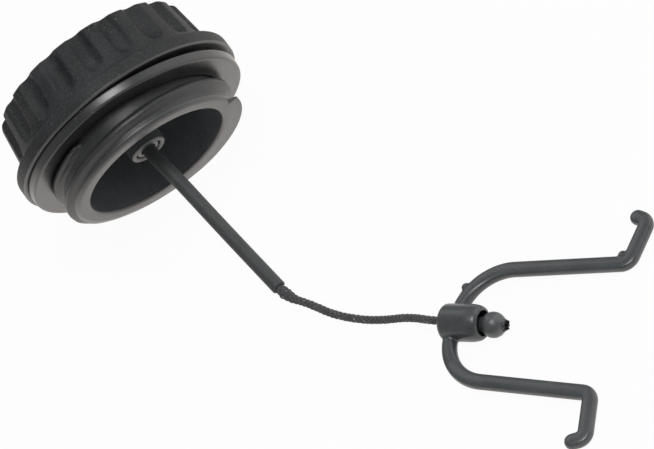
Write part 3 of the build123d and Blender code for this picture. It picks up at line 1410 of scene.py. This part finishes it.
class BraidTree(GeometryTree):
    """Strands that wind both ways round a line and pass over and under each other."""

    STRAND_SIDES = 6
    CORE_SIDES = 16
    TONE_SEED = 5
    JITTER_PER_METRE = 700.0
    JITTER_SHIFT = 3.7
    JITTER_POWER = 2.5

    def __init__(self, material: bpy.types.Material, values: dict[str, float]) -> None:
        """Build the tree.

        Args:
            material: The yarn's material.
            values: Names and values of the braid's sizes.
        """
        super().__init__("braid", values)
        size = self.sizes
        line = self.node("GeometryNodeMeshToCurve", {}, {0: self.geometry}).outputs[0]
        fine = self.node(
            "GeometryNodeResampleCurve", {"mode": "LENGTH"}, {"Curve": line, "Length": size["Sample"]}
        ).outputs[0]
        copies = self.node(
            "GeometryNodeDuplicateElements",
            {"domain": "SPLINE"},
            {"Geometry": fine, "Amount": size["Strands"]},
        )
        wound = self._wound(copies)
        tone = self.node(
            "FunctionNodeRandomValue",
            {"data_type": "FLOAT"},
            {"ID": copies.outputs[1], "Seed": self.TONE_SEED},
        )
        marked = self.node(
            "GeometryNodeStoreNamedAttribute",
            {"data_type": "FLOAT", "domain": "CURVE"},
            {"Geometry": wound, "Name": "strand_tone", "Value": tone.outputs[1]},
        )
        yarn = self._tube(marked.outputs[0], size["Strand Radius"], self.STRAND_SIDES)
        core_radius = size["Cord Radius"] - size["Strand Radius"]
        swollen = self.node("GeometryNodeSetCurveRadius", {}, {"Curve": fine, "Radius": self._swelling()})
        core = self._tube(swollen.outputs[0], core_radius, self.CORE_SIDES)
        both = self.node("GeometryNodeJoinGeometry", {}, {})
        self.tree.links.new(yarn, both.inputs[0])
        self.tree.links.new(core, both.inputs[0])
        self.close(both.outputs[0], material)

    def _wound(self, copies: bpy.types.Node) -> bpy.types.NodeSocket:
        """Wind the copies of the line round it.

        Args:
            copies: The node that made the copies and numbers them.

        Returns:
            The wound curves.
        """
        size = self.sizes
        index = Value(self, copies.outputs[1])
        way = self.math("MODULO", index, 2.0) * 2.0 - 1.0
        laps = self._length() / size["Lay"]
        half = size["Strands"] / 2.0
        angle = (laps * way + self.math("FLOOR", index / 2.0) / half) * FULL_TURN
        lift = self.math("COSINE", laps * half * FULL_TURN) * way * size["Wave"]
        middle = size["Cord Radius"] - size["Strand Radius"] - size["Wave"]
        fatter = self._swelling()
        place = self.node("GeometryNodeInputPosition", {}, {}).outputs[0]
        jitter = self.node(
            "ShaderNodeTexNoise",
            {"noise_dimensions": "4D"},
            {
                "Vector": self.vector("SCALE", {0: place, "Scale": self.JITTER_PER_METRE}),
                "W": index * self.JITTER_SHIFT,
                "Scale": 1.0,
            },
        )
        uneven = size["Rough"] * self.math("POWER", fatter, self.JITTER_POWER)
        radius = (middle + lift) * fatter + (Value(self, jitter.outputs[0]) - 0.5) * uneven
        normal = self.node("GeometryNodeInputNormal", {}, {}).outputs[0]
        tangent = self.node("GeometryNodeInputTangent", {}, {}).outputs[0]
        side = self.vector("CROSS_PRODUCT", {0: tangent, 1: normal})
        out = self.vector(
            "ADD",
            {
                0: self.vector("SCALE", {0: normal, "Scale": self.math("COSINE", angle)}),
                1: self.vector("SCALE", {0: side, "Scale": self.math("SINE", angle)}),
            },
        )
        offset = self.vector("SCALE", {0: out, "Scale": radius})
        fat = self.node("GeometryNodeSetCurveRadius", {}, {"Curve": copies.outputs[0], "Radius": fatter})
        moved = self.node("GeometryNodeSetPosition", {}, {"Geometry": fat.outputs[0], "Offset": offset})
        return moved.outputs[0]

    def _length(self) -> Value:
        """Return the length along the line, in metres."""
        return Value(self, self.node("GeometryNodeSplineParameter", {}, {}).outputs["Length"])

    def _swelling(self) -> Value:
        """Tell how many times as thick the cord is along its line.

        Returns:
            The factor, more than 1 only in the lump.
        """
        away = (self._length() - self.sizes["Lump Place"]) / self.sizes["Lump Length"]
        return self.math("EXPONENT", away * away * -1.0) * self.sizes["Lump"] + 1.0

    def _tube(self, curve: bpy.types.NodeSocket, radius: Value, sides: int) -> bpy.types.NodeSocket:
        """Return curves swept with a round section.

        Args:
            curve: The curves.
            radius: The section's radius.
            sides: How many sides the section has.

        Returns:
            The tubes.
        """
        ring = self.node("GeometryNodeCurvePrimitiveCircle", {}, {"Resolution": sides, "Radius": radius})
        scale = self.node("GeometryNodeInputRadius", {}, {}).outputs[0]
        swept = self.node(
            "GeometryNodeCurveToMesh",
            {},
            {"Curve": curve, "Profile Curve": ring.outputs[0], "Scale": scale, "Fill Caps": True},
        )
        return swept.outputs[0]


@dataclass(frozen=True)
class Lamp:
    """A soft square lamp, in metres and watts."""

    name: str
    place: Place
    size: float
    power: float

    def hang(self, aim: Vector) -> None:
        """Hang the lamp.

        Args:
            aim: The point that it shines at, in metres.
        """
        data = bpy.data.lights.new(self.name, "AREA")
        data.size = self.size
        data.energy = self.power
        lamp = link_object(self.name, data)
        lamp.location = self.place
        lamp.rotation_euler = (aim - Vector(self.place)).to_track_quat("-Z", "Y").to_euler()


@dataclass
class Studio:
    """The white floor, the soft lamps and the camera at the photograph's angle."""

    camera_place: Place = (76.05, -487.91, 423.93)
    camera_turn: Place = (37.787, 30.349, -25.880)
    lens: float = 176.664
    sensor: float = 36.0
    near: float = 0.01
    floor_half: float = 1.6
    floor_drop: float = 0.02
    air: Colour = (0.96, 0.99, 1.0)
    air_strength: float = 0.22
    aim: Place = (0.015, -0.045, 0.015)
    lamps: tuple[Lamp, ...] = (
        Lamp("lamp_left", (-0.65, -0.05, 0.30), 0.8, 0.3),
        Lamp("lamp_right", (0.65, 0.05, 0.30), 0.8, 1.8),
        Lamp("lamp_front", (0.13, -0.28, 0.78), 0.22, 2.3),
        Lamp("lamp_back", (-0.05, 0.50, 0.52), 0.4, 0.5),
    )

    def build(self) -> None:
        """Build the stage."""
        self._camera()
        self._floor()
        for lamp in self.lamps:
            lamp.hang(Vector(self.aim))
        scene = bpy.context.scene
        scene.view_settings.view_transform = "Standard"
        world = bpy.data.worlds.new("studio_air")
        world.use_nodes = True
        background = world.node_tree.nodes["Background"]
        background.inputs["Color"].default_value = (*self.air, 1.0)
        background.inputs["Strength"].default_value = self.air_strength
        scene.world = world

    def _camera(self) -> None:
        """Set the camera where the photograph was taken from."""
        data = bpy.data.cameras.new("photo_camera")
        data.lens = self.lens
        data.sensor_width = self.sensor
        data.sensor_fit = "HORIZONTAL"
        data.clip_start = self.near
        camera = link_object("photo_camera", data)
        camera.location = Vector(self.camera_place) * MM
        camera.rotation_euler = Euler([math.radians(turn) for turn in self.camera_turn], "XYZ")
        bpy.context.scene.camera = camera

    def _floor(self) -> None:
        """Lay the white floor under the object."""
        half = self.floor_half
        corners = [(-half, -half), (half, -half), (half, half), (-half, half)]
        mesh = bpy.data.meshes.new("white_floor")
        mesh.from_pydata([(x, y, -self.floor_drop * MM) for x, y in corners], [], [(0, 1, 2, 3)])
        floor = link_object("white_floor", mesh)
        floor.data.materials.append(StudioFloor().material())


def main() -> None:
    """Build the object's pieces in order and report each, then set up the studio round them."""
    logging.basicConfig(level=logging.INFO, format="%(name)s: %(message)s")
    for maker in (CapMoulding(), SealingRing(), TetherAnchor(), RetainerClip(), CordStopper(), Tether()):
        for piece in maker.build():
            LOG.info("%s is built with %d faces", piece.name, len(piece.data.polygons))
    Studio().build()


if __name__ == "__main__":
    main()
